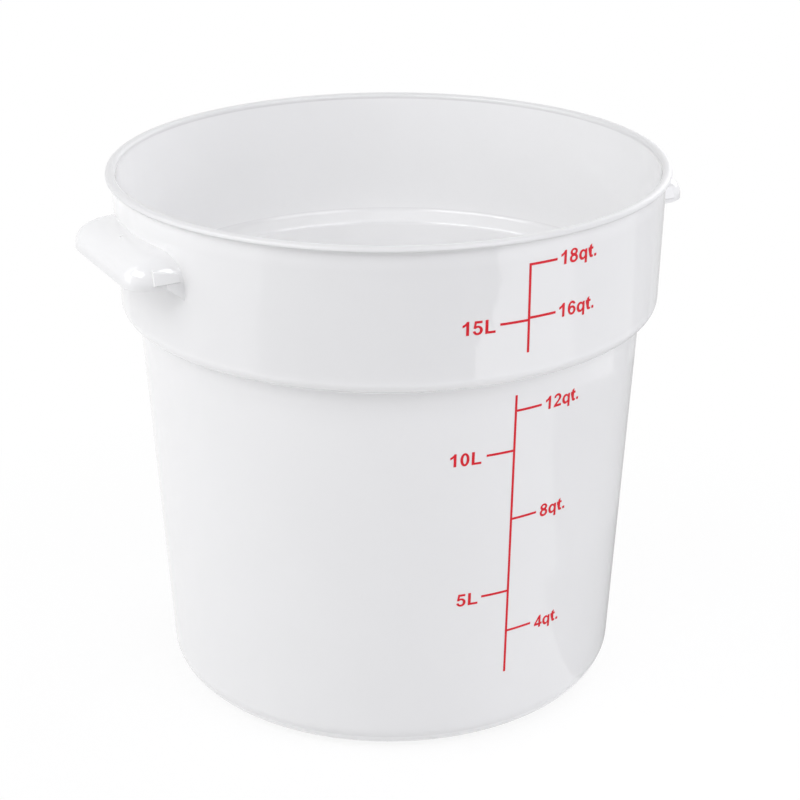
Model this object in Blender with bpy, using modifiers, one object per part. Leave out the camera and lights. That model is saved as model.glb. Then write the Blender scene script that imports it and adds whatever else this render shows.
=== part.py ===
# Round food storage container: a deep white tub whose wider upper band ends in a step,
# two grips moulded on its sides, and a printed volume scale on its front.
# Metres, +Z up. The origin is the centre of the base. The grips are on the X axis,
# and the printed scale faces -Y.

import math

import bmesh
import bpy
from mathutils import Matrix

# The tub: overall sizes and the wall
rim_radius = 0.157
tub_height = 0.3023
wall_thickness = 0.0025
floor_thickness = 0.003

# The flange round the mouth, which a lid snaps over
flange_width = 0.0029
flange_thickness = 0.003
flange_edge_round = 0.001

# The upper band, and the step where it turns in to the narrower body
step_height = 0.2203
step_setback = 0.0094
band_draft = math.radians(1.5)
band_foot_round = 0.0065
step_slope = math.radians(26)
ledge_edge_round = 0.0015

# The lower body and the base it stands on
body_draft = math.radians(3.04)
base_round = 0.015
foot_ring_width = 0.012
base_recess = 0.0008

# The grips: a domed hood, open below, on each side of the band
grip_length = 0.0987
grip_reach = 0.0199
grip_drop = 0.0187
grip_depth = 0.0167
grip_wall = 0.003
grip_end_round = 0.021
grip_nose_round = 0.0286
grip_lip_round = 0.0015

# How full the hood's curves are: 2 is an ellipse, and more is nearer to a box
plan_fullness = 3.2
dome_fullness = 2.3
lip_fullness = 12

# The pad and the gusset that stiffen each end of a grip
pad_length = 0.0179
pad_height = 0.0084
pad_fall = 0.004
pad_rise = 0.0026
pad_stand_out = 0.001
pad_corner_round = 0.0012
gusset_thickness = 0.0022
gusset_length = 0.0105
gusset_drop = 0.0078

# The printed scale: a line with a tick at each mark
line_width = 0.0013
tick_length = 0.0158
ink_thickness = 0.0003
# The print sits this far round from square to the grips, towards the left one
scale_turn = math.radians(0.4)

# The line's ends and the ticks on the band, as shares of the way up from the step to the
# flange: quarts (18 and 16) point right, and litres (15) left
band_line_shares = (0.244, 0.842)
band_quart_shares = (0.842, 0.481)
band_litre_shares = (0.467,)
# The same on the lower body, from the base to the step: 12, 8 and 4 quarts, 10 and 5 litres
body_line_shares = (0.1956, 0.963)
body_quart_shares = (0.922, 0.632, 0.3155)
body_litre_shares = (0.818, 0.4317)

# How finely round shapes are cut, and the distances that keep solids clean
turn_steps = 72
arc_step = math.radians(15)
dome_columns = 32
dome_rows = 16
round_segments = 2
tick_cuts = 5
clearance = 0.0003
overrun = 0.004
merge_distance = 0.00001
smooth_angle = math.radians(30)

# Sizes that follow from those above
flange_bottom = tub_height - flange_thickness
band_radius_top = rim_radius - flange_width
band_height = flange_bottom - step_height
body_radius_top = band_radius_top - band_height * math.tan(band_draft) - step_setback


def start_empty():
    """Remove what the scene holds and make the collections for parts and cutters."""
    for item in list(bpy.data.objects):
        bpy.data.objects.remove(item, do_unlink=True)
    parts = bpy.data.collections.new("food_storage_container")
    cutters = bpy.data.collections.new("cutters")
    for group in (parts, cutters):
        bpy.context.scene.collection.children.link(group)
    return parts, cutters


def make_material(name, color, roughness):
    """A plain plastic or ink with its own colour and roughness."""
    material = bpy.data.materials.new(name)
    material.use_nodes = True
    shader = material.node_tree.nodes["Principled BSDF"]
    shader.inputs["Base Color"].default_value = color
    shader.inputs["Roughness"].default_value = roughness
    shader.inputs["Metallic"].default_value = 0.0
    return material


def add_object(name, mesh, group):
    """Link a mesh as a named object in one of the two collections."""
    item = bpy.data.objects.new(name, mesh)
    group.objects.link(item)
    return item


def mesh_from(work, name):
    """Turn a bmesh into a mesh."""
    mesh = bpy.data.meshes.new(name)
    work.to_mesh(mesh)
    work.free()
    return mesh


def as_cutter(item):
    """Mark an object as a tool that is not part of the model."""
    item.display_type = "WIRE"
    item.hide_render = True
    item.hide_set(True)


def evaluated_mesh(item, name):
    """The mesh of an object with its modifiers applied."""
    graph = bpy.context.evaluated_depsgraph_get()
    return bpy.data.meshes.new_from_object(item.evaluated_get(graph), depsgraph=graph)


def combine(item, tool, operation):
    """Cut or join one object with another, and keep the result as its mesh."""
    step = item.modifiers.new(operation.lower(), "BOOLEAN")
    step.operation = operation
    step.object = tool
    step.solver = "EXACT"
    bpy.context.view_layer.update()
    mesh = evaluated_mesh(item, item.name)
    item.modifiers.remove(step)
    item.data = mesh


def shade_round(mesh):
    """Smooth shading, with edges sharper than the limit kept crisp."""
    mesh.shade_smooth()
    mesh.set_sharp_from_angle(angle=smooth_angle)


# Turned outlines: lines in the (radius, height) plane

def line_at(point, angle, offset):
    """A line through a point, leaning out by an angle from vertical and moved inwards."""
    along = (math.sin(angle), math.cos(angle))
    moved = (point[0] - offset * along[1], point[1] + offset * along[0])
    return moved, along


def meet(first, second):
    """The point where two lines cross."""
    (ax, az), (adx, adz) = first
    (bx, bz), (bdx, bdz) = second
    cross = adx * bdz - adz * bdx
    reach = ((bx - ax) * bdz - (bz - az) * bdx) / cross
    return ax + reach * adx, az + reach * adz


def rounded_corner(before, corner, after, radius):
    """Points of an arc that rounds a corner of an outline."""
    to_before = (before[0] - corner[0], before[1] - corner[1])
    to_after = (after[0] - corner[0], after[1] - corner[1])
    length_before = math.hypot(*to_before)
    length_after = math.hypot(*to_after)
    ub = (to_before[0] / length_before, to_before[1] / length_before)
    ua = (to_after[0] / length_after, to_after[1] / length_after)
    half_angle = math.acos(max(-1, min(1, ub[0] * ua[0] + ub[1] * ua[1]))) / 2
    # A round never takes more than half of the shorter side
    room = min(length_before, length_after) / 2
    tangent = min(radius / math.tan(half_angle), room)
    true_radius = tangent * math.tan(half_angle)
    bisector = (ub[0] + ua[0], ub[1] + ua[1])
    size = math.hypot(*bisector)
    reach = true_radius / math.sin(half_angle)
    centre = (corner[0] + bisector[0] / size * reach, corner[1] + bisector[1] / size * reach)
    start = math.atan2(corner[1] + ub[1] * tangent - centre[1], corner[0] + ub[0] * tangent - centre[0])
    end = math.atan2(corner[1] + ua[1] * tangent - centre[1], corner[0] + ua[0] * tangent - centre[0])
    turn = (end - start + math.pi) % (2 * math.pi) - math.pi
    steps = max(1, math.ceil(abs(turn) / arc_step))
    points = []
    for index in range(steps + 1):
        angle = start + turn * index / steps
        points.append((centre[0] + true_radius * math.cos(angle), centre[1] + true_radius * math.sin(angle)))
    return points


def round_outline(corners):
    """An outline from corners of (radius, height, rounding), with rounded corners as arcs."""
    points = []
    last = len(corners) - 1
    for index, (radius, height, rounding) in enumerate(corners):
        if rounding and 0 < index < last:
            before = corners[index - 1][:2]
            after = corners[index + 1][:2]
            points.extend(rounded_corner(before, (radius, height), after, rounding))
        else:
            points.append((radius, height))
    return points


def turned(name, outline, group):
    """A closed body made by turning an outline round the Z axis."""
    vertices = [(radius, 0, height) for radius, height in outline]
    edges = [(index, index + 1) for index in range(len(vertices) - 1)]
    mesh = bpy.data.meshes.new(name)
    mesh.from_pydata(vertices, edges, [])
    item = add_object(name, mesh, group)
    screw = item.modifiers.new("turn", "SCREW")
    screw.axis = "Z"
    screw.angle = 2 * math.pi
    screw.steps = turn_steps
    screw.render_steps = turn_steps
    screw.use_merge_vertices = True
    screw.merge_threshold = merge_distance
    bpy.context.view_layer.update()
    item.data = evaluated_mesh(item, name)
    item.modifiers.clear()
    return item


# The lines of the tub's wall, outside (offset 0) and inside (offset of one wall)

def band_line(offset):
    """The wide upper band's wall."""
    return line_at((band_radius_top, flange_bottom), band_draft, offset)


def body_line(offset):
    """The narrower lower wall."""
    return line_at((body_radius_top, step_height), body_draft, offset)


def step_line(offset):
    """The sloping step between the two."""
    return line_at((body_radius_top, step_height), math.pi / 2 - step_slope, offset)


def level_line(height):
    """A level line, for the floor and the base."""
    return (0, height), (1, 0)


def wall_radius(height):
    """The outer radius of the tub's wall at a height."""
    wall = band_line(0) if height > step_height else body_line(0)
    return meet(wall, level_line(height))[0]


def outer_wall(grow):
    """Corners of the wall's outside from the flange down to the base, moved out by a distance."""
    top = meet(band_line(-grow), level_line(flange_bottom))
    band_foot = meet(band_line(-grow), step_line(-grow))
    crease = meet(step_line(-grow), body_line(-grow))
    base_corner = meet(body_line(-grow), level_line(0))
    return [
        (*top, 0),
        (*band_foot, band_foot_round + grow),
        (*crease, 0),
        (*base_corner, base_round),
    ]


def make_tub(group):
    """The one-piece tub, turned from the outline of its wall, inside first."""
    wall = wall_thickness
    floor_corner = meet(body_line(wall), level_line(floor_thickness))
    ledge_edge = meet(body_line(wall), step_line(wall))
    ledge_foot = meet(step_line(wall), band_line(wall))
    mouth = meet(band_line(wall), level_line(tub_height))
    outside = outer_wall(0)
    ring_inside = outside[-1][0] - base_round - foot_ring_width
    corners = [
        (0, floor_thickness, 0),
        (*floor_corner, base_round - wall),
        (*ledge_edge, ledge_edge_round),
        (*ledge_foot, band_foot_round - wall),
        (*mouth, flange_edge_round),
        (rim_radius, tub_height, flange_edge_round),
        (rim_radius, flange_bottom, flange_edge_round),
        *outside,
        (ring_inside, 0, 0),
        (ring_inside - base_recess, base_recess, 0),
        (0, base_recess, 0),
    ]
    tub = turned("tub", round_outline(corners), group)
    shade_round(tub.data)
    return tub


# The grips, built on the -X side and turned round for the other

grip_top = tub_height - grip_drop
grip_bottom = grip_top - grip_depth
grip_nose = wall_radius(grip_top) + grip_reach
grip_root = grip_nose - grip_nose_round


def fuller(value, fullness):
    """A coordinate of a unit sphere, moved out to a fuller curve."""
    return math.copysign(abs(value) ** (2 / fullness), value)


def dome(name, inset, bottom, group):
    """A hood with a domed top, nose and ends; an inset makes the smaller one for its inside."""
    # The widest level lies one lip round above the grip's own bottom
    level = grip_bottom + grip_lip_round
    reach_x = grip_nose_round - inset
    reach_y = grip_end_round - inset
    reach_up = grip_top - level - inset
    reach_down = level - bottom
    straight = grip_length / 2 - grip_end_round
    work = bmesh.new()
    # Half a column's turn leaves no points on the axes, so the straight middle stays flat
    turn = Matrix.Rotation(math.pi / dome_columns, 4, "Z")
    bmesh.ops.create_uvsphere(
        work, u_segments=dome_columns, v_segments=dome_rows, radius=1, matrix=turn,
    )
    for vert in work.verts:
        across, along, up = vert.co
        plan = math.hypot(across, along)
        rim = abs(plan) ** (2 / (dome_fullness if up > 0 else lip_fullness))
        if plan > merge_distance:
            across = rim * fuller(across / plan, plan_fullness)
            along = rim * fuller(along / plan, plan_fullness)
        height = fuller(up, dome_fullness) * reach_up if up > 0 else fuller(up, lip_fullness) * reach_down
        shift = math.copysign(straight, along)
        vert.co = (across * reach_x - grip_root, along * reach_y + shift, level + height)
    return add_object(name, mesh_from(work, name), group)


def block(name, low, high, group):
    """A plain box between two corners."""
    size = [top - bottom for bottom, top in zip(low, high)]
    centre = [(top + bottom) / 2 for bottom, top in zip(low, high)]
    work = bmesh.new()
    bmesh.ops.create_cube(work, size=1, matrix=Matrix.Translation(centre) @ Matrix.Diagonal((*size, 1)))
    return add_object(name, mesh_from(work, name), group)


def add_end_pad(grip, side, group):
    """The small pad that stands out from an end of the grip, and gets lower towards the wall."""
    face = grip_length / 2 + pad_stand_out
    inner = grip_length / 2 - grip_wall
    root = math.sqrt(wall_radius(grip_bottom) ** 2 - face ** 2)
    outer = root + pad_length
    low_z = grip_bottom + pad_rise
    near, far = sorted((side * face, side * inner))
    pad = block("pad", (-outer, near, low_z), (-grip_root + overrun, far, low_z + pad_height), group)
    work = bmesh.new()
    work.from_mesh(pad.data)
    # The top slopes evenly from the outer end to the wall, and on inside it
    slope = pad_fall / pad_length
    for vert in work.verts:
        if vert.co.z > low_z + merge_distance:
            vert.co.z -= slope * (vert.co.x + outer)
    corner = [
        edge for edge in work.edges
        if all(abs(vert.co.x + outer) < merge_distance for vert in edge.verts)
        and all(abs(vert.co.y - side * face) < merge_distance for vert in edge.verts)
    ]
    bmesh.ops.bevel(
        work, geom=corner, offset=pad_corner_round, offset_type="OFFSET", segments=round_segments,
        profile=0.5, affect="EDGES", clamp_overlap=True,
    )
    pad.data = mesh_from(work, "pad")
    combine(grip, pad, "UNION")
    as_cutter(pad)


def add_gusset(grip, side, group):
    """The three-cornered rib under an end of the grip."""
    outside = grip_length / 2
    inside = outside - gusset_thickness
    root = math.sqrt(wall_radius(grip_bottom) ** 2 - outside ** 2)
    top = grip_bottom + grip_wall
    near, far = sorted((side * outside, side * inside))
    low = (-(root + gusset_length), near, grip_bottom - gusset_drop)
    high = (-root + overrun, far, top)
    rib = block("gusset", low, high, group)
    work = bmesh.new()
    work.from_mesh(rib.data)
    everything = work.verts[:] + work.edges[:] + work.faces[:]
    # The slant runs from the rib's outer end down to the wall
    normal = (-gusset_drop, 0, -gusset_length)
    bmesh.ops.bisect_plane(
        work, geom=everything, dist=merge_distance, plane_co=(low[0], 0, grip_bottom),
        plane_no=normal, clear_outer=True,
    )
    bmesh.ops.holes_fill(work, edges=work.edges)
    bmesh.ops.recalc_face_normals(work, faces=work.faces)
    rib.data = mesh_from(work, "gusset")
    combine(grip, rib, "UNION")
    as_cutter(rib)


def make_grip(group, cutters):
    """One grip on the -X side: a hollow hood with its pads and gussets, fitted to the wall."""
    grip = dome("handle_left", 0, grip_bottom, group)
    hollow = dome("hollow", grip_wall, grip_bottom - overrun, cutters)
    combine(grip, hollow, "DIFFERENCE")
    as_cutter(hollow)
    for side in (-1, 1):
        add_end_pad(grip, side, cutters)
        add_gusset(grip, side, cutters)
    # The wall's own shape, one clearance larger, cuts the grip's root to fit it
    wall = outer_wall(clearance)
    outline = round_outline([(0, flange_bottom, 0), *wall, (0, 0, 0)])
    body = turned("wall_cutter", outline, cutters)
    combine(grip, body, "DIFFERENCE")
    as_cutter(body)
    shade_round(grip.data)
    return grip


def copy_round(grip, name, group):
    """A copy of the grip, turned half a turn about the tub's axis."""
    mesh = grip.data.copy()
    mesh.transform(Matrix.Rotation(math.pi, 4, "Z"))
    return add_object(name, mesh, group)


# The printed scale: drawn flat, then laid round the wall

def make_scale(name, low, high, ticks, group, cutters):
    """A line from low to high with its ticks; a tick is a height and a side, -1 or 1."""
    half = line_width / 2
    scale = block(name, (-half, -ink_thickness, low), (half, 0, high), group)
    for height, side in ticks:
        near, far = sorted((0, side * tick_length))
        tick = block("tick", (near, -ink_thickness, height - half), (far, 0, height + half), cutters)
        combine(scale, tick, "UNION")
        as_cutter(tick)
    work = bmesh.new()
    work.from_mesh(scale.data)
    # Cuts across the ticks let them follow the round wall
    for index in range(-tick_cuts, tick_cuts + 1):
        everything = work.verts[:] + work.edges[:] + work.faces[:]
        place = tick_length * index / tick_cuts
        bmesh.ops.bisect_plane(
            work, geom=everything, dist=merge_distance, plane_co=(place, 0, 0), plane_no=(1, 0, 0),
        )
    bmesh.ops.triangulate(work, faces=work.faces)
    for vert in work.verts:
        along, depth, height = vert.co
        radius = wall_radius(height) + clearance - depth
        angle = along / radius - scale_turn
        vert.co = (radius * math.sin(angle), -radius * math.cos(angle), height)
    scale.data = mesh_from(work, name)
    return scale


def make_scales(group, cutters):
    """The scale on the band and the scale on the lower body."""
    half = line_width / 2
    low, high = (step_height + share * band_height for share in band_line_shares)
    ticks = [(step_height + share * band_height, 1) for share in band_quart_shares]
    ticks += [(step_height + share * band_height, -1) for share in band_litre_shares]
    upper = make_scale("scale_upper", low, high + half, ticks, group, cutters)
    low, high = (share * step_height for share in body_line_shares)
    ticks = [(share * step_height, 1) for share in body_quart_shares]
    ticks += [(share * step_height, -1) for share in body_litre_shares]
    lower = make_scale("scale_lower", low, high, ticks, group, cutters)
    return upper, lower


def build():
    """Make every piece and give it its material."""
    parts, cutters = start_empty()
    white = make_material("white_plastic", (0.86, 0.86, 0.87, 1), 0.22)
    grip_white = make_material("white_plastic_grips", (0.86, 0.86, 0.87, 1), 0.25)
    red = make_material("red_ink", (0.78, 0.05, 0.07, 1), 0.45)
    tub = make_tub(parts)
    left = make_grip(parts, cutters)
    right = copy_round(left, "handle_right", parts)
    upper, lower = make_scales(parts, cutters)
    finishes = {tub: white, left: grip_white, right: grip_white, upper: red, lower: red}
    for item, material in finishes.items():
        item.data.materials.clear()
        item.data.materials.append(material)


build()
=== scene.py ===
# %% [markdown]
# # A round tub for storing food
#
# The real object is one moulding of glossy white plastic: a deep tub with a wider band round
# its top, a thin flange round the mouth, a grip on each side, and a scale of red figures.
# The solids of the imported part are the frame. This script dresses them: each visible piece
# is modelled again with its small rounds, and gets a finish that is mixed in nodes.

import math

import bmesh
import bpy
from mathutils import Matrix, Vector


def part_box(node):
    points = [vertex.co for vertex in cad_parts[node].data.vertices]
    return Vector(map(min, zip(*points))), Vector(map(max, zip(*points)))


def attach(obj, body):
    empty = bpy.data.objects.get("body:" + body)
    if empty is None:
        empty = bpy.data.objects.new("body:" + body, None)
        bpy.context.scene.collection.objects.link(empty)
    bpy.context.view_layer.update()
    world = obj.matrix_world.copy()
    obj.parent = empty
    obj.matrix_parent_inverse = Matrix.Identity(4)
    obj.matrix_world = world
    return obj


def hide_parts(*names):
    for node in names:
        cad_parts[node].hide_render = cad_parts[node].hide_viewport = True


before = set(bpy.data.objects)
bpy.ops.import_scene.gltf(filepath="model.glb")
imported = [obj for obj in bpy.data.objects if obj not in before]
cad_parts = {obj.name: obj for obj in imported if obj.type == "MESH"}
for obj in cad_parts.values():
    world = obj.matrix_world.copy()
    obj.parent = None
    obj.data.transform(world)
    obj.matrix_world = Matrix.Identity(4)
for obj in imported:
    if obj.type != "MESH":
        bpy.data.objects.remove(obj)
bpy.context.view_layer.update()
MM = 0.001
# Lengths are in metres here, and points closer than this count as one place
tiny = 1e-6
print("CAD nodes:", sorted(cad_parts))

# %% [markdown]
# ## Small helpers for modelling by hand
#
# In the window you click to select, and here a few lines of code do it: a test picks the
# points, edges or faces, and the same operators act on what is selected. Anything else that
# is still selected would be changed too, so every step starts from nothing selected.

# %% Helpers for selecting
def start_fresh():
    """Leave edit mode, and deselect every object."""
    if bpy.context.object and bpy.context.object.mode != "OBJECT":
        bpy.ops.object.mode_set(mode="OBJECT")
    bpy.ops.object.select_all(action="DESELECT")


def pick(kind, test):
    """In edit mode, select only the points, edges or faces that pass a test."""
    bpy.ops.mesh.select_mode(type={"verts": "VERT", "edges": "EDGE", "faces": "FACE"}[kind])
    bpy.ops.mesh.select_all(action="DESELECT")
    mesh = bpy.context.edit_object.data
    work = bmesh.from_edit_mesh(mesh)
    chosen = [item for item in getattr(work, kind) if test(item)]
    for item in chosen:
        item.select_set(True)
    work.select_flush_mode()
    bmesh.update_edit_mesh(mesh)
    return len(chosen)


def edit(item):
    """Make an object the only selected one, and enter edit mode on it."""
    start_fresh()
    item.select_set(True)
    bpy.context.view_layer.objects.active = item
    bpy.ops.object.mode_set(mode="EDIT")


print("helpers for selecting: start_fresh, pick, edit")

# %% Helpers for finishing a piece
def apply_modifier(item, kind, **settings):
    """Add a modifier, set it up and apply it."""
    start_fresh()
    bpy.context.view_layer.objects.active = item
    item.select_set(True)
    bpy.ops.object.modifier_add(type=kind)
    step = item.modifiers[-1]
    for name, value in settings.items():
        setattr(step, name, value)
    bpy.ops.object.modifier_apply(modifier=step.name)


def combine(item, tool, operation):
    """Join or cut one object with another, and remove the tool."""
    apply_modifier(item, "BOOLEAN", operation=operation, object=tool, solver="EXACT")
    bpy.data.objects.remove(tool, do_unlink=True)


def settle(item, smooth_angle=math.radians(32)):
    """Put an object's place into its mesh, and shade its gentle edges smooth."""
    start_fresh()
    bpy.context.view_layer.objects.active = item
    item.select_set(True)
    bpy.ops.object.transform_apply(location=True, rotation=True, scale=True)
    bpy.ops.object.shade_smooth_by_angle(angle=smooth_angle)
    return item


def report(item):
    """Say how big a finished piece is, and whether it is closed."""
    work = bmesh.new()
    work.from_mesh(item.data)
    open_edges = sum(1 for edge in work.edges if not edge.is_manifold)
    volume = work.calc_volume(signed=True)
    work.free()
    size = [round(value / MM, 1) for value in item.dimensions]
    print(f"{item.name}: {size} mm, {len(item.data.polygons)} faces, "
          f"{open_edges} open edges, {volume * 1e6:.2f} cm3")


print("helpers for finishing: apply_modifier, combine, settle, report")

# %% [markdown]
# ## The camera
#
# The photograph looks down at the tub by 22.8 degrees, with the left grip turned towards us.
# Lines on the real object (the rim, the step, the straight sides and the printed ticks) give
# the camera's place and its lens, so the render can be laid over the photograph.

# %% Camera at the photograph's viewing angle
turn = math.radians(-28.3)
look_down = math.radians(22.81)
roll = math.radians(-0.12)
lens_pixels = 1930.0
frame_pixels = 800.0
sensor_width = 36.0
rim_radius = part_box("tub")[1].x
# The base centre, seen from the camera: right, down and away, in rim radii
base_seen = Vector((-0.036, 0.920, 7.599)) * rim_radius

across = Vector((math.cos(turn), math.sin(turn), 0))
away = Vector((-math.sin(turn), math.cos(turn), 0))
up = Vector((0, 0, 1))
down_seen = -math.sin(look_down) * away - math.cos(look_down) * up
forward = math.cos(look_down) * away - math.sin(look_down) * up
right_rolled = math.cos(roll) * across - math.sin(roll) * down_seen
down_rolled = math.sin(roll) * across + math.cos(roll) * down_seen
to_camera = Matrix((right_rolled, down_rolled, forward))
place = -(to_camera.transposed() @ base_seen)

camera = bpy.data.objects.new("camera", bpy.data.cameras.new("camera"))
bpy.context.scene.collection.objects.link(camera)
pose = Matrix((right_rolled, -down_rolled, -forward)).transposed().to_4x4()
pose.translation = place
camera.matrix_world = pose
camera.data.sensor_width = sensor_width
camera.data.lens = lens_pixels / frame_pixels * sensor_width
camera.data.clip_start = 0.01
bpy.context.scene.camera = camera
print("camera at", [round(value, 3) for value in place], "lens", round(camera.data.lens, 1), "mm")

# %% [markdown]
# ## The tub
#
# A potter's way suits a turned wall: draw one ring, pull it up to the next height, scale it
# to the next radius, and go on from the middle of the floor, over the mouth and down the
# outside. A Screw on a drawn profile would do it as well. Rings leave every corner as one
# loop of edges, so each corner can be rounded afterwards by its own radius.

# %% The wall's corners: radius, height and rounding, in millimetres
tub_corners = [
    (5.0, 3.0, 0.0),
    (128.59, 3.0, 12.5),
    (140.21, 221.90, 2.4),
    (149.69, 226.53, 3.0),
    (151.68, 302.3, 2.0),
    (157.0, 302.3, 2.0),
    (157.0, 299.3, 0.9),
    (154.1, 299.3, 0.5),
    (152.15, 224.94, 6.5),
    (142.63, 220.3, 0.5),
    (130.93, 0.0, 15.0),
    (103.9, 0.0, 0.5),
    (103.1, 0.8, 0.5),
    (5.0, 0.8, 0.0),
]
band_line = ((154.1 * MM, 299.3 * MM), (152.15 * MM, 224.94 * MM))
body_line = ((142.63 * MM, 220.3 * MM), (130.93 * MM, 0.0))
step_height = body_line[0][1]


def wall_radius(height):
    """The outer radius of the wall at a height, for what has to lie on it."""
    (top_r, top_z), (low_r, low_z) = band_line if height > step_height else body_line
    return low_r + (top_r - low_r) * (height - low_z) / (top_z - low_z)


def corner_reach(index):
    """How far the rounding of a corner reaches along its two sides."""
    radius, height, rounding = tub_corners[index]
    if not rounding:
        return 0.0
    before = Vector(tub_corners[index - 1][:2]) - Vector((radius, height))
    after = Vector(tub_corners[index + 1][:2]) - Vector((radius, height))
    return rounding / math.tan(before.angle(after) / 2)


print("wall radius at mid band:", round(wall_radius(0.262) / MM, 2), "mm")

# %% Pull the tub up, ring by ring
ring_points = 192
# In millimetres, as the corners are: between rings, beside a rounding, and at the least
ring_gap = 12.0
edge_gap = 0.6
least_gap = 0.01


def pull_ring(old, new):
    """Extrude the selected ring to a new height, and scale it to a new radius."""
    rise = (new[1] - old[1]) * MM
    bpy.ops.mesh.extrude_region_move(
        TRANSFORM_OT_translate={"value": (0, 0, rise), "orient_type": "GLOBAL"})
    grow = new[0] / old[0]
    bpy.ops.transform.resize(value=(grow, grow, 1), center_override=(0, 0, new[1] * MM))


start_fresh()
radius, height, _ = tub_corners[0]
bpy.ops.mesh.primitive_circle_add(
    vertices=ring_points, radius=radius * MM, location=(0, 0, height * MM))
tub = bpy.context.object
tub.name = "tub_shell"
bpy.ops.object.transform_apply(location=True)
edit(tub)
bpy.ops.mesh.select_all(action="SELECT")
here = (radius, height)
for index in range(1, len(tub_corners)):
    start, end = Vector(tub_corners[index - 1][:2]), Vector(tub_corners[index][:2])
    length = (end - start).length
    near = corner_reach(index - 1) + edge_gap
    far = corner_reach(index) + edge_gap if index < len(tub_corners) - 1 else 0
    # Rings between two corners keep the shading of the long walls even
    room = length - near - far
    stops = []
    if room > 0:
        count = math.ceil(room / ring_gap)
        stops = [near + room * step / count for step in range(count + 1)]
    for stop in stops:
        point = start.lerp(end, stop / length)
        if (point - Vector(here)).length > least_gap and (point - end).length > least_gap:
            pull_ring(here, point)
            here = tuple(point)
    pull_ring(here, end)
    here = tuple(end)
print("rings drawn, faces so far:", len(bmesh.from_edit_mesh(tub.data).faces))

# %% Close the floor's middle, inside and outside
same_place = 0.02 * MM
for middle in (tub_corners[0], tub_corners[-1]):
    flat = middle[1] * MM
    found = pick("edges", lambda edge: edge.is_boundary and all(
        abs(vert.co.z - flat) < same_place for vert in edge.verts))
    bpy.ops.mesh.edge_face_add()
    bpy.ops.mesh.poke()
    print(f"hole of {found} edges closed at {middle[1]} mm")

# %% Round each corner by its own radius
merge_gap = 0.002 * MM
segments_per_mm = 0.9
for index, (radius, height, rounding) in enumerate(tub_corners):
    if not rounding:
        continue

    def at_corner(vert):
        flat = math.hypot(vert.co.x, vert.co.y)
        return (abs(flat - radius * MM) < same_place
                and abs(vert.co.z - height * MM) < same_place)

    found = pick("edges", lambda edge: all(at_corner(vert) for vert in edge.verts))
    bpy.ops.mesh.bevel(
        offset=corner_reach(index) * MM, offset_type="OFFSET",
        segments=max(3, round(rounding * segments_per_mm)),
        profile=0.5, affect="EDGES", clamp_overlap=False)
    print(f"corner at {radius} x {height}: {found} edges rounded by {rounding} mm")
bpy.ops.mesh.select_all(action="SELECT")
bpy.ops.mesh.remove_doubles(threshold=merge_gap)
bpy.ops.mesh.normals_make_consistent(inside=False)
settle(tub)
apply_modifier(tub, "WEIGHTED_NORMAL", keep_sharp=True, weight=80)
report(tub)

# %% [markdown]
# ## The grips
#
# Each grip is a hood, open below, that grows out of the band. Its outline from above is
# fuller than an ellipse, and so is its section. The bevel tool's profile setting is just such
# a curve, so the outline is a rectangle with two beveled corners. It is then pulled up in
# thin layers, and each layer is scaled about the grip's two ends, which makes the dome.

# %% The grip's sizes
root_x = -145.0 * MM
nose_reach = 28.1 * MM
end_reach = 21.0 * MM
end_y = 28.35 * MM
lip_height = 266.9 * MM
widest_height = 268.4 * MM
dome_rise = 15.2 * MM
grip_wall = 3.0 * MM
plan_fullness = 3.2
dome_fullness = 2.3
layers = 56
last_layer = math.radians(86)
corner_segments, nose_cuts = 18, 26
# The hood starts a little inside the wall, and its hollow a little below its lip
root_room = 8 * MM
hollow_start = 6 * MM
layer_merge = 0.004 * MM
print("grip from", round((root_x - nose_reach) / MM, 1), "mm out, top at",
      round((widest_height + dome_rise) / MM, 1), "mm")

# %% Helpers for the hood
def bevel_profile(fullness):
    """The bevel tool's profile value for a curve of that fullness (2 is a circle)."""
    return 2 ** (-2 / fullness)


def face_down():
    """True if the one face that has been drawn looks down."""
    work = bmesh.from_edit_mesh(bpy.context.edit_object.data)
    work.faces.ensure_lookup_table()
    work.normal_update()
    return work.faces[0].normal.z < 0


def pull_layer(rise, shrink):
    """Extrude the selected layer up, and draw it in towards the line between the ends."""
    bpy.ops.mesh.extrude_region_move(
        TRANSFORM_OT_translate={"value": (0, 0, rise), "orient_type": "GLOBAL"})
    work = bmesh.from_edit_mesh(bpy.context.edit_object.data)
    top = [vert for vert in work.verts if vert.select]
    height = top[0].co.z
    level = {vert.index for vert in top}
    bpy.ops.transform.resize(value=(shrink, 1, 1), center_override=(root_x, 0, height))
    for side in (-1, 1):
        pick("verts", lambda vert: vert.index in level and vert.co.y * side > end_y - tiny)
        bpy.ops.transform.resize(
            value=(1, shrink, 1), center_override=(root_x, side * end_y, height))
    pick("verts", lambda vert: vert.index in level)
    bpy.ops.mesh.select_mode(type="FACE")


print("bevel profile of the outline:", round(bevel_profile(plan_fullness), 3))

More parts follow.
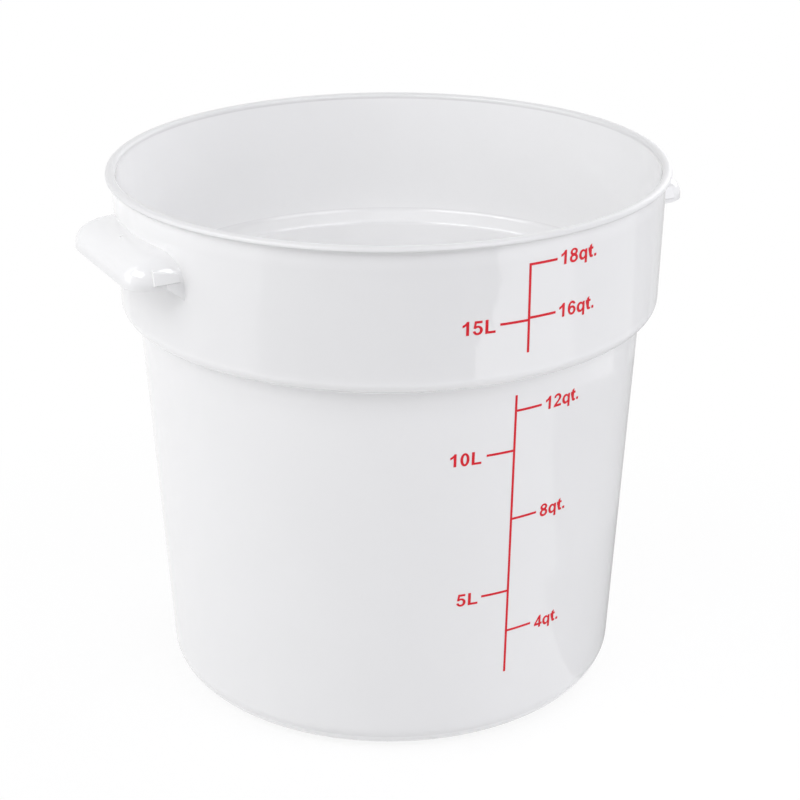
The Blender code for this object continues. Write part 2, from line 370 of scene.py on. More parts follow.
# %% Build a hood from its outline, layer by layer
def make_hood(name, inset, bottom):
    """A solid hood. The inset makes the smaller one that hollows it out."""
    out, end, rise = nose_reach - inset, end_reach - inset, dome_rise - inset
    start_fresh()
    middle_x = root_x - end / 2 + root_room / 2
    bpy.ops.mesh.primitive_plane_add(size=1, location=(middle_x, 0, bottom))
    hood = bpy.context.object
    hood.name = name
    hood.scale = (end + root_room, 2 * (end_y + end), 1)
    bpy.ops.object.transform_apply(location=True, rotation=False, scale=True)
    edit(hood)
    pick("verts", lambda vert: vert.co.x < root_x)
    bpy.ops.mesh.bevel(
        offset=end, offset_type="OFFSET", segments=corner_segments,
        profile=bevel_profile(plan_fullness), affect="VERTICES", clamp_overlap=False)
    pick("verts", lambda vert: vert.co.x < root_x - tiny)
    bpy.ops.transform.resize(value=(out / end, 1, 1), center_override=(root_x, 0, bottom))
    pick("edges", lambda edge: all(abs(vert.co.x - root_x + out) < tiny for vert in edge.verts))
    bpy.ops.mesh.subdivide(number_cuts=nose_cuts)
    pick("faces", lambda face: True)
    if face_down():
        bpy.ops.mesh.flip_normals()
    pull_layer(widest_height - bottom, 1.0)
    last_share, last_height = 1.0, 0.0
    for layer in range(1, layers + 1):
        angle = last_layer * layer / layers
        share = math.cos(angle) ** (2 / dome_fullness)
        height = rise * math.sin(angle) ** (2 / dome_fullness)
        pull_layer(height - last_height, share / last_share)
        last_share, last_height = share, height
    bpy.ops.mesh.select_all(action="SELECT")
    bpy.ops.mesh.remove_doubles(threshold=layer_merge)
    bpy.ops.mesh.normals_make_consistent(inside=False)
    bpy.ops.object.mode_set(mode="OBJECT")
    return hood


grip = make_hood("grip_left", 0.0, lip_height)
report(grip)

# %% Hollow the grip out
hollow = make_hood("hollow", grip_wall, lip_height - hollow_start)
combine(grip, hollow, "DIFFERENCE")
report(grip)

# %% [markdown]
# ## The pads and the ribs
#
# At each end of the hood a small pad stands out beside the wall like a wedge, and a thin
# three-cornered rib runs down from the hood to the band. Curves or sculpting could make them,
# but both have flat faces, so they are boxes whose corners are moved in edit mode. Their edges
# are a little rounded before they are joined to the hood.

# %% Sizes of the pads and the ribs
end_face = end_y + end_reach
pad_out = 50.35 * MM
pad_outer, pad_inner = -161.1 * MM, -146.9 * MM
pad_low, pad_high = 269.5 * MM, 277.2 * MM
pad_fall = 3.2 * MM
pad_lean_outer, pad_lean_inner = 2.85 * MM, 1.5 * MM
pad_round, pad_steps = 0.8 * MM, 4
rib_inner = -140.0 * MM
rib_thick = 2.2 * MM
rib_outer = -154.5 * MM
rib_low = 259.2 * MM
rib_foot = 4.9 * MM
rib_sunk = 2.5 * MM
rib_round = 0.35 * MM
# How near a corner has to be to the face or the height that it belongs to
face_reach, outer_reach = 1 * MM, 2.5 * MM
print("pads", round((pad_high - pad_low) / MM, 1), "mm high, ribs",
      round((lip_height - rib_low) / MM, 1), "mm high")

# %% Add a pad and a rib at each end
def make_block(name, low, high):
    """A box between two corners, as a mesh at the origin."""
    start_fresh()
    middle = [(a + b) / 2 for a, b in zip(low, high)]
    bpy.ops.mesh.primitive_cube_add(size=1, location=middle)
    block = bpy.context.object
    block.name = name
    block.scale = [b - a for a, b in zip(low, high)]
    bpy.ops.object.transform_apply(location=True, rotation=False, scale=True)
    return block


def add_pad(side):
    """A pad that gets lower towards the wall. Its end face leans in with the dome."""
    near, far = sorted((side * pad_out, side * (end_face - grip_wall)))
    pad = make_block("pad", (pad_outer, near, pad_low), (pad_inner, far, pad_high))
    edit(pad)
    pad_middle = (pad_outer + pad_inner) / 2

    def upper_outer(vert, beyond):
        return (vert.co.z > pad_low + face_reach and side * vert.co.y > end_face - face_reach
                and (vert.co.x > pad_middle) == beyond)

    for beyond, lean in ((False, pad_lean_outer), (True, pad_lean_inner)):
        pick("verts", lambda vert: upper_outer(vert, beyond))
        bpy.ops.transform.translate(value=(0, -side * lean, 0))
    pick("verts", lambda vert: vert.co.x > pad_middle and vert.co.z > pad_low + face_reach)
    bpy.ops.transform.translate(value=(0, 0, -pad_fall))
    pick("edges", lambda edge: all(
        side * vert.co.y > end_face - outer_reach for vert in edge.verts))
    bpy.ops.mesh.bevel(offset=pad_round, segments=pad_steps, profile=0.5, affect="EDGES")
    bpy.ops.object.mode_set(mode="OBJECT")
    combine(grip, pad, "UNION")


def add_rib(side):
    """A thin rib. Its lower outer corner goes up to the lip, which leaves a slanting edge."""
    near, far = sorted((side * end_face, side * (end_face - rib_thick)))
    rib = make_block("rib", (rib_outer, near, rib_low), (rib_inner, far, lip_height + rib_sunk))
    edit(rib)
    pick("verts", lambda vert: vert.co.x < rib_outer + tiny and vert.co.z < rib_low + tiny)
    bpy.ops.transform.translate(value=(0, 0, lip_height - rib_low))
    pick("verts", lambda vert: vert.co.x > rib_outer + tiny and vert.co.z < rib_low + tiny)
    bpy.ops.transform.translate(value=(-rib_foot, 0, 0))
    pick("edges", lambda edge: all(vert.co.z < lip_height + tiny for vert in edge.verts)
         and abs(edge.verts[0].co.y - edge.verts[1].co.y) < tiny)
    bpy.ops.mesh.bevel(offset=rib_round, segments=2, profile=0.5, affect="EDGES")
    bpy.ops.object.mode_set(mode="OBJECT")
    combine(grip, rib, "UNION")


for side in (-1, 1):
    add_pad(side)
    add_rib(side)
report(grip)

# %% Trim the grip inside the wall, so that nothing comes through
trim_low, trim_high = 240 * MM, 298 * MM
sunk = 1.1 * MM
start_fresh()
bpy.ops.mesh.primitive_cone_add(
    vertices=ring_points, radius1=wall_radius(trim_low) - sunk,
    radius2=wall_radius(trim_high) - sunk, depth=trim_high - trim_low,
    location=(0, 0, (trim_low + trim_high) / 2))
trim = bpy.context.object
combine(grip, trim, "DIFFERENCE")
report(grip)

# %% [markdown]
# ## The gate mark and the other grip
#
# A moulding keeps a small mark where the plastic flowed in, and here it is a dimple on top of
# the grip. It could be drawn in a bump, but it is deep enough to be cut with a small sphere.
# The other grip is the same piece after half a turn about the tub, so a copy is turned.

# %% Press the small gate mark into the top
gate_x, gate_depth, gate_size = -159.3 * MM, 0.8 * MM, 0.9 * MM
gate_share = (root_x - gate_x) / nose_reach
gate_top = widest_height + dome_rise * (1 - gate_share ** dome_fullness) ** (1 / dome_fullness)
start_fresh()
bpy.ops.mesh.primitive_uv_sphere_add(
    segments=24, ring_count=12, radius=gate_size,
    location=(gate_x, 0, gate_top + gate_size - gate_depth))
mark = bpy.context.object
combine(grip, mark, "DIFFERENCE")
settle(grip)
report(grip)

# %% Make the other grip
start_fresh()
grip.select_set(True)
bpy.context.view_layer.objects.active = grip
bpy.ops.object.duplicate(linked=False)
grip_right = bpy.context.object
grip_right.name = "grip_right"
grip_right.rotation_euler.z = math.pi
settle(grip_right)
report(grip_right)

# %% [markdown]
# ## The printed scale
#
# The scale is a thin film of red ink. A picture on the wall would be one way, but a thin solid
# shows its true edge from any side. Each line starts as a flat bar. Cuts mark where the ticks
# leave it, and those side faces are extruded. The flat print is then laid round the wall.

# %% Lay flat print round the wall
film_sunk, film_proud = 0.06 * MM, 0.12 * MM
# The lines lean: as they go up, they turn about the axis by 0.9 degrees in 244 mm
print_lean = math.radians(0.9) / (244 * MM)
upright_height = 51 * MM


def lay_round(item, lean=0.0):
    """Wrap a flat print: x goes round the wall, y goes into it, and z stays the height."""
    for vert in item.data.vertices:
        along, depth, height = vert.co
        radius = wall_radius(height) + (film_proud if depth < 0 else -film_sunk)
        angle = along / radius - lean * (height - upright_height)
        vert.co = (radius * math.sin(angle), -radius * math.cos(angle), height)
    item.data.update()


print("the film stands", film_proud / MM, "mm proud of the wall")

# %% Make each line with its ticks
line_width = 1.3 * MM
tick_length = 15.5 * MM
flat_half = 0.1 * MM
# The flat print is cut across at these steps, so that it can bend with the wall
bend_gap, bends = 2 * MM, 8


def make_scale(name, low, high, ticks):
    """A line from low to high, with ticks given as heights and sides."""
    half = line_width / 2
    line = make_block(name, (-half, -flat_half, low), (half, flat_half, high))
    edit(line)
    for height, side in ticks:
        for cut in (height - half, height + half):
            if low + tiny < cut < high - tiny:
                bpy.ops.mesh.select_all(action="SELECT")
                bpy.ops.mesh.bisect(plane_co=(0, 0, cut), plane_no=(0, 0, 1))
    for height, side in ticks:
        pick("faces", lambda face: face.normal.x * side > 0.9
             and abs(face.calc_center_median().z - height) < half)
        bpy.ops.mesh.extrude_region_move(
            TRANSFORM_OT_translate={"value": (side * tick_length, 0, 0), "orient_type": "GLOBAL"})
    for step in range(-bends, bends + 1):
        bpy.ops.mesh.select_all(action="SELECT")
        bpy.ops.mesh.bisect(plane_co=(step * bend_gap, 0, 0), plane_no=(1, 0, 0))
    bpy.ops.object.mode_set(mode="OBJECT")
    lay_round(line, print_lean)
    settle(line)
    report(line)
    return line


scale_band = make_scale("scale_band", 239.58 * MM, 287.47 * MM,
                        [(286.82 * MM, 1), (258.3 * MM, 1), (257.19 * MM, -1)])
scale_body = make_scale("scale_body", 43.09 * MM, 212.15 * MM,
                        [(203.12 * MM, 1), (180.21 * MM, -1), (139.23 * MM, 1),
                         (95.1 * MM, -1), (69.5 * MM, 1)])

# %% [markdown]
# ## The figures
#
# The figures name the volumes in quarts and litres, in a plain bold face. The built-in font
# has a 1 without its flag and thinner strokes, so the few figures needed are drawn as closed
# outlines, much as you would trace them with a curve. A capital is about 100 units high.

# %% Curves for the figures
arc_step = 15


def arc(center_x, center_y, reach_x, reach_y, start, end):
    """Points along part of an ellipse. The angles are in degrees, and may run backwards."""
    count = max(6, round(abs(end - start) / arc_step))
    angles = [math.radians(start + (end - start) * step / count) for step in range(count + 1)]
    return [(center_x + reach_x * math.cos(a), center_y + reach_y * math.sin(a)) for a in angles]


def ring(center_x, center_y, reach_x, reach_y):
    """A whole ellipse, for a bowl or its hole."""
    return arc(center_x, center_y, reach_x, reach_y, 0, 360 - arc_step)


print("an ellipse has", len(ring(0, 0, 1, 1)), "points")

# %% Draw the outlines of the figures
# Each figure: how far it moves the pen on, and its closed outlines
glyphs = {
    "0": (78, [ring(38.3, 49.2, 33, 51), ring(38.3, 49.2, 13.2, 34.5)]),
    "1": (78, [[(55, 0), (35.8, 0), (35.8, 72.2), (23, 62.5), (10.9, 57.7), (10.9, 75),
                (24, 81), (33, 89), (39.5, 100), (55, 100)]]),
    "2": (78, [arc(38, 69.5, 32, 30.8, 178, -35) + [(54, 40.5), (41, 28.5), (31.5, 17.6),
               (71, 17.6), (71, 0), (4, 0), (6.5, 9.5), (13, 21), (25, 33.5), (38.5, 45.7)]
               + arc(36.7, 70, 14.3, 14.5, -38, 175)]),
    "4": (78, [[(43.9, 0), (43.9, 20.1), (3, 20.1), (3, 36.8), (46.3, 100.4), (62.4, 100.4),
                (62.4, 36.9), (75.6, 36.9), (75.6, 20.1), (62.4, 20.1), (62.4, 0)],
               [(43.9, 36.9), (43.9, 71.1), (20.9, 36.9)]]),
    "5": (78, [arc(36.5, 31.5, 34.5, 33.5, -170, 112) + [(28.8, 81.5), (66.5, 81.5), (66.5, 98.5),
               (15.5, 98.5), (7.5, 46.5), (23.5, 44.2)] + arc(35.5, 32.2, 16, 18.8, 130, -170)]),
    "6": (78, [arc(40, 49, 35.5, 51, 33, 270) + arc(40.5, 31.2, 32, 33.2, 280, 470)
               + arc(40, 63, 15.5, 20.5, 185, 28), ring(39.5, 31.3, 14.8, 17.6)]),
    "8": (78, [arc(38.5, 28.5, 34, 30, 129, 411) + arc(38.5, 73.5, 30.5, 26.5, -48, 228),
               ring(38.5, 75, 13, 11.2), ring(38.5, 28.8, 15.5, 14.2)]),
    "L": (86, [[(10.7, 0), (10.7, 99.2), (30.9, 99.2), (30.9, 16.9), (82, 16.9), (82, 0)]]),
    "q": (86, [[(76.6, 72.4), (76.6, -27.7), (57.5, -27.7)] + arc(36.5, 36.2, 31, 37.8, -46, -314)
               + [(58.7, 62.5), (58.7, 72.4)], ring(41.5, 36.5, 15.8, 21.5)]),
    "t": (48, [[(1.5, 57), (1.5, 72.4), (13, 72.4), (13, 84), (32.5, 95.5), (32.5, 72.4),
                (45.8, 72.4), (45.8, 57), (32.5, 57), (32.5, 24), (33.5, 16.5), (38, 14.2),
                (44.2, 15.8), (46, 1.2), (40, -0.8), (31.5, -1.6), (22, 0.3), (15.8, 5.5),
                (13.4, 14)]]),
    ".": (39, [[(10, 0), (29.5, 0), (29.5, 19.2), (10, 19.2)]]),
}
# Each word: its left and right edge along the wall, and its middle height, in millimetres
figure_table = [
    ("18qt.", 16.2, 40.7, 286.9),
    ("16qt.", 16.5, 40.7, 258.5),
    ("15L", -38.2, -20.7, 257.0),
    ("12qt.", 17.6, 41.6, 203.1),
    ("10L", -37.3, -20.2, 179.8),
    ("8qt.", 18.1, 36.4, 139.1),
    ("5L", -30.8, -18.7, 94.8),
    ("4qt.", 19.0, 37.0, 68.5),
]
capital_height, capital_units = 7.5 * MM, 100
print("figures drawn:", "".join(glyphs))

# %% Make each word from a curve, and lay it on the wall
word_merge = 0.001 * MM


def make_figures(words, left, right, middle):
    """One word of the print, as a thin film on the wall."""
    start_fresh()
    pen, outlines = 0, []
    for letter in words:
        advance, contours = glyphs[letter]
        outlines += [[(pen + x, y) for x, y in contour] for contour in contours]
        pen += advance
    low = min(x for outline in outlines for x, y in outline)
    high = max(x for outline in outlines for x, y in outline)
    stretch = (right - left) * MM / (high - low)
    drawing = bpy.data.curves.new("figures_" + words.replace(".", ""), "CURVE")
    drawing.dimensions = "2D"
    drawing.fill_mode = "BOTH"
    drawing.extrude = flat_half
    for outline in outlines:
        spline = drawing.splines.new("POLY")
        spline.points.add(len(outline) - 1)
        for point, (x, y) in zip(spline.points, outline):
            across_x = left * MM + (x - low) * stretch
            point.co = (across_x, (y / capital_units - 0.5) * capital_height, 0, 1)
        spline.use_cyclic_u = True
    word = bpy.data.objects.new(drawing.name, drawing)
    bpy.context.scene.collection.objects.link(word)
    word.select_set(True)
    bpy.context.view_layer.objects.active = word
    bpy.ops.object.convert(target="MESH")
    word = bpy.context.object
    edit(word)
    bpy.ops.mesh.select_all(action="SELECT")
    bpy.ops.mesh.remove_doubles(threshold=word_merge)
    bpy.ops.object.mode_set(mode="OBJECT")
    # The drawing lies flat: stand it up, then lay it round the wall
    for vert in word.data.vertices:
        vert.co = (vert.co.x, -vert.co.z, middle * MM + vert.co.y)
    lay_round(word)
    settle(word)
    report(word)
    return word


figures = [make_figures(words, left, right, middle)
           for words, left, right, middle in figure_table]
printed = [scale_band, scale_body, *figures]
print("pieces of print:", len(printed))

# %% [markdown]
# ## The white plastic
#
# The plastic is a milky white with a clear gloss. Its base colour drifts a little, the gloss
# is a little uneven, and the wall isn't quite true, so reflections have wavy edges. A painted
# picture could hold this, but noise on the object's own coordinates has no seam and stays put
# when the tub turns. First come a few helpers that each add one step to a node tree.

# %% Helpers for materials
def new_material(name):
    """A material with its tree, and the shader that is in it from the start."""
    material = bpy.data.materials.new(name)
    material.use_nodes = True
    tree = material.node_tree
    return material, tree, tree.nodes["Principled BSDF"]


def dress(items, material):
    """Give objects one material in place of what they have."""
    for item in items:
        item.data.materials.clear()
        item.data.materials.append(material)


def add_noise(tree, scale, detail, stretch=(1, 1, 1)):
    """Noise on object coordinates, in cycles per metre."""
    coordinates = tree.nodes.new("ShaderNodeTexCoord")
    mapping = tree.nodes.new("ShaderNodeMapping")
    mapping.inputs["Scale"].default_value = stretch
    noise = tree.nodes.new("ShaderNodeTexNoise")
    noise.inputs["Scale"].default_value = scale
    noise.inputs["Detail"].default_value = detail
    tree.links.new(coordinates.outputs["Object"], mapping.inputs["Vector"])
    tree.links.new(mapping.outputs["Vector"], noise.inputs["Vector"])
    return noise.outputs["Fac"]


print("helpers for materials: new_material, dress, add_noise")

# %% Helpers for values and colours
def ramp(tree, value, low, high):
    """Turn a noise value into a colour between two ends."""
    node = tree.nodes.new("ShaderNodeValToRGB")
    for element, position, color in zip(node.color_ramp.elements, (0.3, 0.7), (low, high)):
        element.position = position
        element.color = (*color, 1)
    tree.links.new(value, node.inputs["Fac"])
    return node.outputs["Color"]


def spread(tree, value, low, high):
    """Spread a noise value, which seldom leaves 0.25 to 0.75, over a range of numbers."""
    node = tree.nodes.new("ShaderNodeMapRange")
    for name, number in (("From Min", 0.25), ("From Max", 0.75), ("To Min", low), ("To Max", high)):
        node.inputs[name].default_value = number
    tree.links.new(value, node.inputs["Value"])
    return node.outputs["Result"]


def calculate(tree, operation, *values):
    """A sum in nodes. Its values are numbers or the outputs of other nodes."""
    node = tree.nodes.new("ShaderNodeMath")
    node.operation = operation
    for socket, value in zip(node.inputs, values):
        if isinstance(value, float):
            socket.default_value = value
        else:
            tree.links.new(value, socket)
    return node.outputs["Value"]


def blend_color(tree, way, factor, color, grey):
    """Lighten or darken a colour by a grey, where the factor is 1."""
    node = tree.nodes.new("ShaderNodeMix")
    node.data_type = "RGBA"
    node.blend_type = way
    node.inputs["B"].default_value = (grey, grey, grey, 1)
    tree.links.new(factor, node.inputs["Factor"])
    tree.links.new(color, node.inputs["A"])
    return node.outputs["Result"]


print("helpers for values and colours: ramp, spread, calculate, blend_color")

# %% [markdown]
# ## Where light and shade are painted into the white
#
# The inside and the creases are painted paler, most of all low down. This is painted light:
# it stands in for light that comes through such a thin wall, and it lifts the shade under the
# flange and at the step. The inside ledge and the rim are painted greyer, which is painted
# shade on these upturned faces, and the rim, which lids rub, is also duller. Subsurface
# scattering would work out the light, but it is slow and noisy on a shell.
# Here sums on the height and the distance from the axis find each zone, and the colour changes
# there. How much comes from matching the picture, not from a measurement.

# %% Find the zones of the wall
# Heights in metres: the ledge's foot and top, the rim's lower edge, and the outside step
ledge_height, ledge_top, rim_height = 0.2208, 0.2285, 0.2992
step_crease, crease_reach = 0.2215, 0.011
# The middle of the wall: its radius at the base, its slope, and how far the band is wider.
# What lies within it counts as inside, and so do the underside and the base's rounding.
middle_base, middle_slope, middle_step = 0.1298, 0.0531, 0.00815
# Painted light: how much paler the inside, the inside below the band and the creases are painted
inside_painted_light, low_inside_painted_light, crease_painted_light = 0.045, 0.03, 0.055
# Painted shade: how much greyer the ledge and the rim are painted; then how much rougher the rim is
ledge_painted_shade, rim_painted_shade, rim_matte = 0.91, 0.81, 0.4


def add_radius(tree, parts):
    """The distance from the tub's axis."""
    flat = tree.nodes.new("ShaderNodeCombineXYZ")
    for axis in "XY":
        tree.links.new(parts.outputs[axis], flat.inputs[axis])
    radius = tree.nodes.new("ShaderNodeVectorMath")
    radius.operation = "LENGTH"
    tree.links.new(flat.outputs["Vector"], radius.inputs[0])
    return radius.outputs["Value"]


def paint_light_and_shade(tree, color):
    """Paint light into the inside and the creases, paint shade onto the ledge and the rim, and tell
    where the rim is.
    """
    place = tree.nodes.new("ShaderNodeTexCoord")
    parts = tree.nodes.new("ShaderNodeSeparateXYZ")
    tree.links.new(place.outputs["Object"], parts.inputs["Vector"])
    height = parts.outputs["Z"]
    in_band = calculate(tree, "GREATER_THAN", height, ledge_height)
    middle = calculate(tree, "MULTIPLY_ADD", height, middle_slope, middle_base)
    middle = calculate(tree, "MULTIPLY_ADD", in_band, middle_step, middle)
    inside = calculate(tree, "LESS_THAN", add_radius(tree, parts), middle)
    inside = calculate(tree, "MULTIPLY", inside, calculate(tree, "LESS_THAN", height, rim_height))
    # Painted light: the inside is painted paler, and more so below the band
    color = blend_color(tree, "ADD", inside, color, inside_painted_light)
    low_inside = calculate(tree, "SUBTRACT", inside, in_band)
    color = blend_color(tree, "ADD", low_inside, color, low_inside_painted_light)
    # Painted shade: the inside ledge is painted greyer
    on_ledge = calculate(tree, "MULTIPLY", in_band, calculate(tree, "LESS_THAN", height, ledge_top))
    on_ledge = calculate(tree, "MULTIPLY", on_ledge, inside)
    color = blend_color(tree, "MULTIPLY", on_ledge, color, ledge_painted_shade)
    outside = calculate(tree, "SUBTRACT", 1.0, inside)
    # Painted light in the creases under the flange and at the outside step, which lifts their shade
    for crease in (step_crease, rim_height):
        gap = calculate(tree, "ABSOLUTE", calculate(tree, "SUBTRACT", height, crease))
        near = calculate(tree, "MULTIPLY_ADD", gap, -1 / crease_reach, 1.0)
        near = calculate(tree, "MULTIPLY", calculate(tree, "MAXIMUM", near, 0.0), outside)
        color = blend_color(tree, "ADD", near, color, crease_painted_light)
    # Painted shade: the rim's upturned faces are painted greyer
    on_rim = calculate(tree, "GREATER_THAN", height, rim_height)
    return blend_color(tree, "MULTIPLY", on_rim, color, rim_painted_shade), on_rim


print("zones change at", ledge_height, ledge_top, rim_height, "m")

# %% Mix the white plastic
# Noise in cycles per metre, for the colour, the gloss, the waves and the grain
drift_scale, gloss_scale, wave_scale, grain_scale = 9, 140, 22, 900
drift_share = 0.01
wave_depth, wave_stretch = 0.0012, (1, 1, 0.25)
grain_strength, grain_depth = 0.03, 0.0001
plastic_ior = 1.52


def add_bump(tree, height, strength, distance, below=None):
    """Turn a height into a slightly uneven surface, on top of another one if there is one."""
    bump = tree.nodes.new("ShaderNodeBump")
    bump.inputs["Strength"].default_value = strength
    bump.inputs["Distance"].default_value = distance
    tree.links.new(height, bump.inputs["Height"])
    if below:
        tree.links.new(below, bump.inputs["Normal"])
    return bump.outputs["Normal"]


def make_white(name, pale, gloss_low, gloss_high, wave):
    """Milky white plastic with an uneven gloss and a slightly wavy surface."""
    material, tree, shader = new_material(name)
    drift = add_noise(tree, drift_scale, 3)
    color = ramp(tree, drift, (pale - drift_share,) * 3, (pale + drift_share,) * 3)
    color, on_rim = paint_light_and_shade(tree, color)
    tree.links.new(color, shader.inputs["Base Color"])
    rough = spread(tree, add_noise(tree, gloss_scale, 4), gloss_low, gloss_high)
    rough = calculate(tree, "MULTIPLY_ADD", on_rim, rim_matte, rough)
    tree.links.new(rough, shader.inputs["Roughness"])
    # Slow waves, drawn out up the wall, and a very fine grain
    slow = add_bump(tree, add_noise(tree, wave_scale, 1, wave_stretch), wave, wave_depth)
    fine = add_bump(tree, add_noise(tree, grain_scale, 2), grain_strength, grain_depth, slow)
    tree.links.new(fine, shader.inputs["Normal"])
    shader.inputs["IOR"].default_value = plastic_ior
    return material


tub_white = make_white("tub_white", 0.91, 0.03, 0.07, 0.45)
grip_white = make_white("grip_white", 0.9, 0.04, 0.09, 0.12)
dress([tub], tub_white)
dress([grip, grip_right], grip_white)
print("white plastics:", tub_white.name, grip_white.name)

# %% [markdown]
# ## The red ink
#
# Screen-printed ink is flatter than the plastic under it, with a little more and less ink
# from place to place. Noise darkens and lightens the red by a few per cent.

# %% Mix the red ink
ink_scale = 260
ink_deep, ink_light = (0.7, 0.007, 0.02), (0.78, 0.013, 0.03)
ink_gloss_low, ink_gloss_high = 0.32, 0.5
ink, tree, shader = new_material("red_ink")
cover = add_noise(tree, ink_scale, 3)
tree.links.new(ramp(tree, cover, ink_deep, ink_light), shader.inputs["Base Color"])
tree.links.new(spread(tree, cover, ink_gloss_low, ink_gloss_high), shader.inputs["Roughness"])
shader.inputs["Specular IOR Level"].default_value = 0.25
dress(printed, ink)
print("ink on", len(printed), "pieces")

# %% [markdown]
# ## The floor
#
# The tub stands on white, with a faint shadow round its foot. More light would make any floor
# white, but it would burn out the tub as well. So the floor stays a plain grey that lights the
# tub from below, and the rays that show the background see its own even glow mixed in. Close
# to the tub the glow is a little weaker, and there the shadow is left.

# %% The rays that show the background
def background_rays(tree):
    """1 for camera, glossy and transmission rays, and 0 for all others."""
    path = tree.nodes.new("ShaderNodeLightPath")
    shown = calculate(
        tree, "MAXIMUM", path.outputs["Is Camera Ray"], path.outputs["Is Glossy Ray"])
    return calculate(tree, "MAXIMUM", shown, path.outputs["Is Transmission Ray"])


print("the background is shown to camera, glossy and transmission rays")

# %% The floor and its paint
# In metres: the floor's side, and how far it lies below the tub
floor_side, floor_drop = 12, 0.4 * MM
floor_grey = 0.75
start_fresh()
bpy.ops.mesh.primitive_plane_add(size=floor_side, location=(0, 0, -floor_drop))
floor = bpy.context.object
floor.name = "floor"
floor_paint, tree, shader = new_material("floor_white")
shader.inputs["Roughness"].default_value = 0.9
shader.inputs["Specular IOR Level"].default_value = 0.1
# The camera sees a whiter floor than the one that lights the tub from below
paint = tree.nodes.new("ShaderNodeMix")
paint.data_type = "RGBA"
paint.inputs["A"].default_value = (floor_grey, floor_grey, floor_grey, 1)
paint.inputs["B"].default_value = (1, 1, 1, 1)
path = tree.nodes.new("ShaderNodeLightPath")
tree.links.new(path.outputs["Is Camera Ray"], paint.inputs["Factor"])
tree.links.new(paint.outputs["Result"], shader.inputs["Base Color"])
print("floor of", floor_side, "m, grey", floor_grey)

# %% The floor's glow
# In metres from the tub's axis: where the glow starts to grow, and where it is full
fade_start, fade_end = 0.15, 0.4
glow_near, glow_far = 0.86, 1.0
glow = tree.nodes.new("ShaderNodeEmission")
glow.inputs["Color"].default_value = (1, 1, 1, 1)
where = tree.nodes.new("ShaderNodeTexCoord")
distance = tree.nodes.new("ShaderNodeVectorMath")
distance.operation = "LENGTH"
fade = tree.nodes.new("ShaderNodeMapRange")
for name, number in (("From Min", fade_start), ("From Max", fade_end),
                     ("To Min", glow_near), ("To Max", glow_far)):
    fade.inputs[name].default_value = number
tree.links.new(where.outputs["Object"], distance.inputs[0])
tree.links.new(distance.outputs["Value"], fade.inputs["Value"])
share = calculate(tree, "MULTIPLY", background_rays(tree), fade.outputs["Result"])
blend = tree.nodes.new("ShaderNodeMixShader")
tree.links.new(share, blend.inputs["Fac"])
tree.links.new(shader.outputs["BSDF"], blend.inputs[1])
tree.links.new(glow.outputs["Emission"], blend.inputs[2])
tree.links.new(blend.outputs["Shader"], tree.nodes["Material Output"].inputs["Surface"])
floor.data.materials.append(floor_paint)
print("the floor's glow is", glow_near, "at", fade_start, "m and", glow_far, "at", fade_end, "m")

# %% [markdown]
# ## The world and the lamps
#
# The light is soft and comes from all round, a little more of it from the left. The world
# gives an even base, and it looks white only to the rays that show the background. Five
# large area lamps do the rest. A sun or a spot would give hard shadows, which this picture lacks.

# %% The world
lamp_color = (0.985, 0.985, 1.0)
cool_color = (0.95, 0.95, 1.0)
room_strength, backdrop_strength = 0.52, 1.0
world = bpy.data.worlds.new("studio")
bpy.context.scene.world = world
world.use_nodes = True
tree = world.node_tree
room = tree.nodes["Background"]
room.inputs["Color"].default_value = (*lamp_color, 1)
room.inputs["Strength"].default_value = room_strength
backdrop = tree.nodes.new("ShaderNodeBackground")
backdrop.inputs["Color"].default_value = (1, 1, 1, 1)
backdrop.inputs["Strength"].default_value = backdrop_strength
choose = tree.nodes.new("ShaderNodeMixShader")
tree.links.new(background_rays(tree), choose.inputs["Fac"])
tree.links.new(room.outputs["Background"], choose.inputs[1])
tree.links.new(backdrop.outputs["Background"], choose.inputs[2])
tree.links.new(choose.outputs["Shader"], tree.nodes["World Output"].inputs["Surface"])
print("world lights at", room_strength, "and is seen at", backdrop_strength)

# %% The soft lamps
# The lamps face the tub's middle
lamp_target = Vector((0, 0, 0.17))


def offset_from(azimuth, elevation, distance):
    """The way to a lamp or a card. Azimuths count from the camera, and grow to the right."""
    angle, level = math.radians(azimuth), math.radians(elevation)
    heading = math.sin(angle) * across - math.cos(angle) * away
    return (heading * math.cos(level) + up * math.sin(level)) * distance


def add_softbox(name, azimuth, elevation, distance, width, height, power, color=lamp_color):
    """A soft lamp that faces the tub."""
    lamp = bpy.data.objects.new(name, bpy.data.lights.new(name, "AREA"))
    bpy.context.scene.collection.objects.link(lamp)
    lamp.data.shape = "RECTANGLE"
    lamp.data.size = width
    lamp.data.size_y = height
    lamp.data.energy = power
    lamp.data.color = color
    lamp.location = lamp_target + offset_from(azimuth, elevation, distance)
    lamp.rotation_euler = (lamp_target - lamp.location).to_track_quat("-Z", "Y").to_euler()


# Azimuth and elevation, then distance, width and height in metres, and power
add_softbox("left_high_box", -50, 45, 1.8, 1.5, 0.8, 9.0)
add_softbox("left_box", -82, 12, 1.7, 0.9, 1.0, 5.6)
add_softbox("right_high_box", 42, 45, 1.8, 1.15, 0.8, 6.3, cool_color)
add_softbox("right_box", 76, 12, 1.7, 0.9, 1.0, 3.9, cool_color)
add_softbox("back_right_box", 140, 25, 1.8, 1.2, 1.0, 10.0)
scene = bpy.context.scene
scene.view_settings.view_transform = "Standard"

# %% [markdown]
# ## Cards for the gloss
#
# A glossy white thing is drawn by what it mirrors. Round a real one, cards are set up that
# put soft edges and bands into the gloss. The wall leans and mirrors the floor, so most cards
# are flat parts of rings on it: a dark one in front and brighter ones at the sides. Three
# bright ones stand off the tub and face it, for the highlights on the rim, the inside ledge
# and the grip. Only glossy rays see the cards, so they cast no light. They are set for this
# view, and another shows them elsewhere.

# %% Flat cards
card_height, front_height = 0.2 * MM, 0.4 * MM


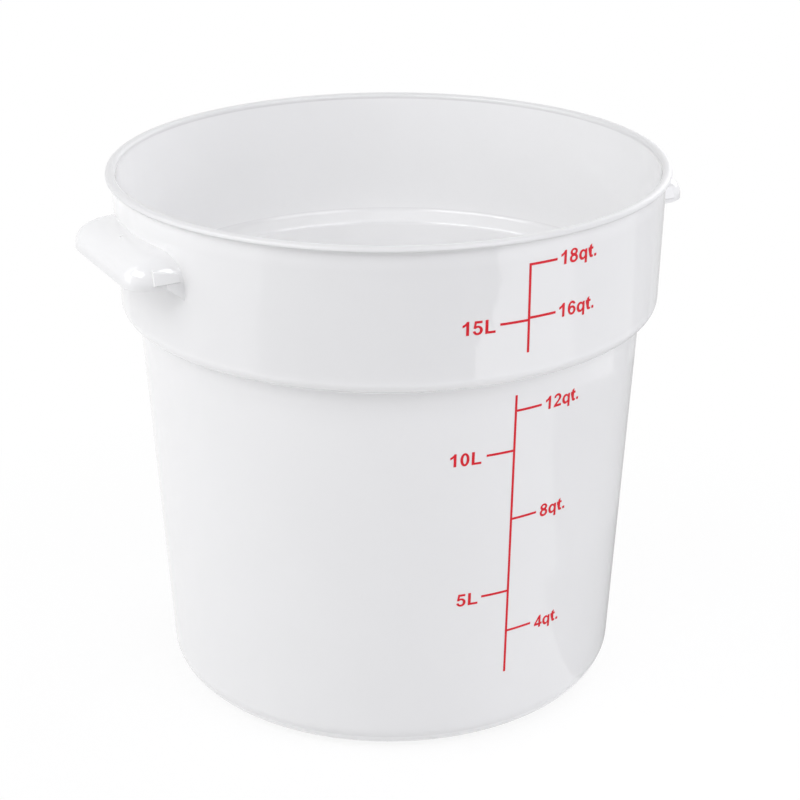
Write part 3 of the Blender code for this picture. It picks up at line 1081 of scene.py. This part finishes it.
def make_glossy_only(card, strength):
    """Give a card its own light, and hide it from all but reflections."""
    paint = bpy.data.materials.new(card.name + "_paint")
    paint.use_nodes = True
    tree = paint.node_tree
    light = tree.nodes.new("ShaderNodeEmission")
    light.inputs["Color"].default_value = (1, 1, 1, 1)
    light.inputs["Strength"].default_value = strength
    tree.links.new(light.outputs["Emission"], tree.nodes["Material Output"].inputs["Surface"])
    card.data.materials.append(paint)
    for other in ("camera", "diffuse", "transmission", "shadow"):
        setattr(card, "visible_" + other, False)


def add_card(name, edges, strength, height=card_height):
    """A flat part of a ring. Its edges are radii, each with a left and a right azimuth."""
    start_fresh()
    bpy.ops.mesh.primitive_circle_add(vertices=360, radius=edges[0][0], location=(0, 0, 0))
    card = bpy.context.object
    card.name = name
    edit(card)
    bpy.ops.mesh.select_mode(type="EDGE")
    bpy.ops.mesh.select_all(action="SELECT")
    for (inner, _, _), (outer, _, _) in zip(edges, edges[1:]):
        bpy.ops.mesh.extrude_region_move(TRANSFORM_OT_translate={"value": (0, 0, 0)})
        grow = outer / inner
        bpy.ops.transform.resize(value=(grow, grow, 1), center_override=(0, 0, 0))

    def outside(face):
        middle = face.calc_center_median()
        side = math.degrees(math.atan2(middle.dot(across), -middle.dot(away)))
        far = next((edge for edge in edges[1:] if edge[0] > middle.length), edges[-1])
        return not far[1] < side < far[2]

    pick("faces", outside)
    bpy.ops.mesh.delete(type="FACE")
    bpy.ops.object.mode_set(mode="OBJECT")
    card.location.z = height
    make_glossy_only(card, strength)


add_card("front_card", [(0.62, -49, 31), (0.70, -50, 31), (0.74, -51, 33.5), (0.78, -50, 38.5),
                        (0.82, -49, 40), (0.86, -48, 42), (0.95, -48, 40.5), (1.6, -48, 40.5)],
         0.03, front_height)
# Name, inner and outer radius in metres, left and right azimuth, and strength
ring_cards = [
    ("left_floor_card", 0.62, 1.6, -78, -47, 0.65),
    ("left_side_card", 0.62, 1.6, -131, -78, 0.85),
    ("right_floor_card", 0.62, 1.6, 29, 75, 1.3),
    ("right_side_card", 0.62, 1.6, 75, 112, 0.8),
    ("right_card", 0.52, 1.6, 112, 133, 0.5),
    ("right_back_card", 0.52, 1.6, 133, 170, 0.6),
    ("right_near_card", 0.26, 0.52, 70, 165, 0.5),
    ("right_foot_card", 0.132, 0.26, 62, 170, 0.42),
]
for name, inner, outer, left, right, strength in ring_cards:
    add_card(name, [(inner, left, right), (outer, left, right)], strength)

# %% Bright cards that face the tub's mouth
shine_target = Vector((0, 0, 0.3))


def add_reflector(name, azimuth, elevation, distance, width, height, strength):
    """A bright card that faces the tub's mouth, for highlights."""
    where = offset_from(azimuth, elevation, distance)
    start_fresh()
    bpy.ops.mesh.primitive_plane_add(size=1, location=shine_target + where)
    card = bpy.context.object
    card.name = name
    card.rotation_euler = where.to_track_quat("Z", "Y").to_euler()
    card.scale = (width, height, 1)
    make_glossy_only(card, strength)


add_reflector("left_shine", -50, 42, 1.8, 1.5, 0.6, 6.5)
add_reflector("end_shine", -100, 30, 1.8, 0.4, 1.6, 2.5)
add_reflector("right_shine", 42, 42, 1.8, 1.15, 0.75, 4.5)

# %% [markdown]
# ## Hand the pieces over
#
# Nothing moves on this object, so every piece rides on the one body, and the imported solids
# that the new pieces replace are hidden.

# %% Ride and replace
for item in [tub, grip, grip_right, *printed]:
    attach(item, "root")
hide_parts("tub")
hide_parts("handle_left")
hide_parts("handle_right")
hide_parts("scale_upper")
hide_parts("scale_lower")
